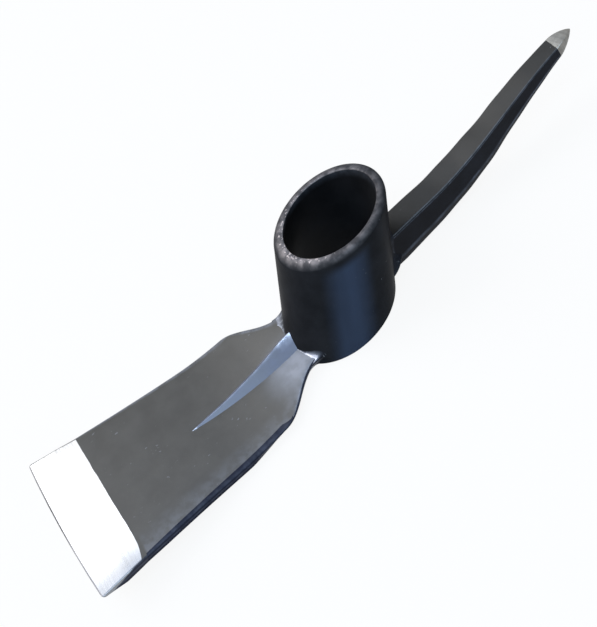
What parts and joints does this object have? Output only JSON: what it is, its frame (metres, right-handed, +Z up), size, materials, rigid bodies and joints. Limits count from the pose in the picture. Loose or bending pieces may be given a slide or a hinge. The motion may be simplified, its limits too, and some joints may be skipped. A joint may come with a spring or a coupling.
{
  "type": "mattock head",
  "caption": "Steel mattock head with a slanted round eye for a wooden handle, a broad ribbed hoe blade with a bright ground edge, and a rising tapered pick.",
  "frame": {"origin": "where the axis of the handle's bore meets the plane of the eye's foot, the flat end that the head lies on", "axes": "+X along the head towards the pick, -X towards the hoe blade, +Z up, square to the eye's two end faces"},
  "size_m": [0.3153, 0.09, 0.05],
  "materials": {
    "black_paint": "satin black paint over forged steel, with small scuffs and dust specks",
    "painted_weld": "thin black paint over an uneven weld, rubbed to bare steel on the ridges",
    "ground_edge": "bright ground steel with fine grinding lines",
    "ground_point": "dull ground steel"
  },
  "bodies": {
    "root": {"eye_socket": "black_paint", "hoe_blade": "black_paint", "blade_rib": "black_paint", "cutting_edge": "ground_edge", "blade_weld_left": "painted_weld", "blade_weld_right": "painted_weld", "pick_arm": "black_paint", "pick_point": "ground_point", "pick_weld": "painted_weld"}
  },
  "joints": []
}
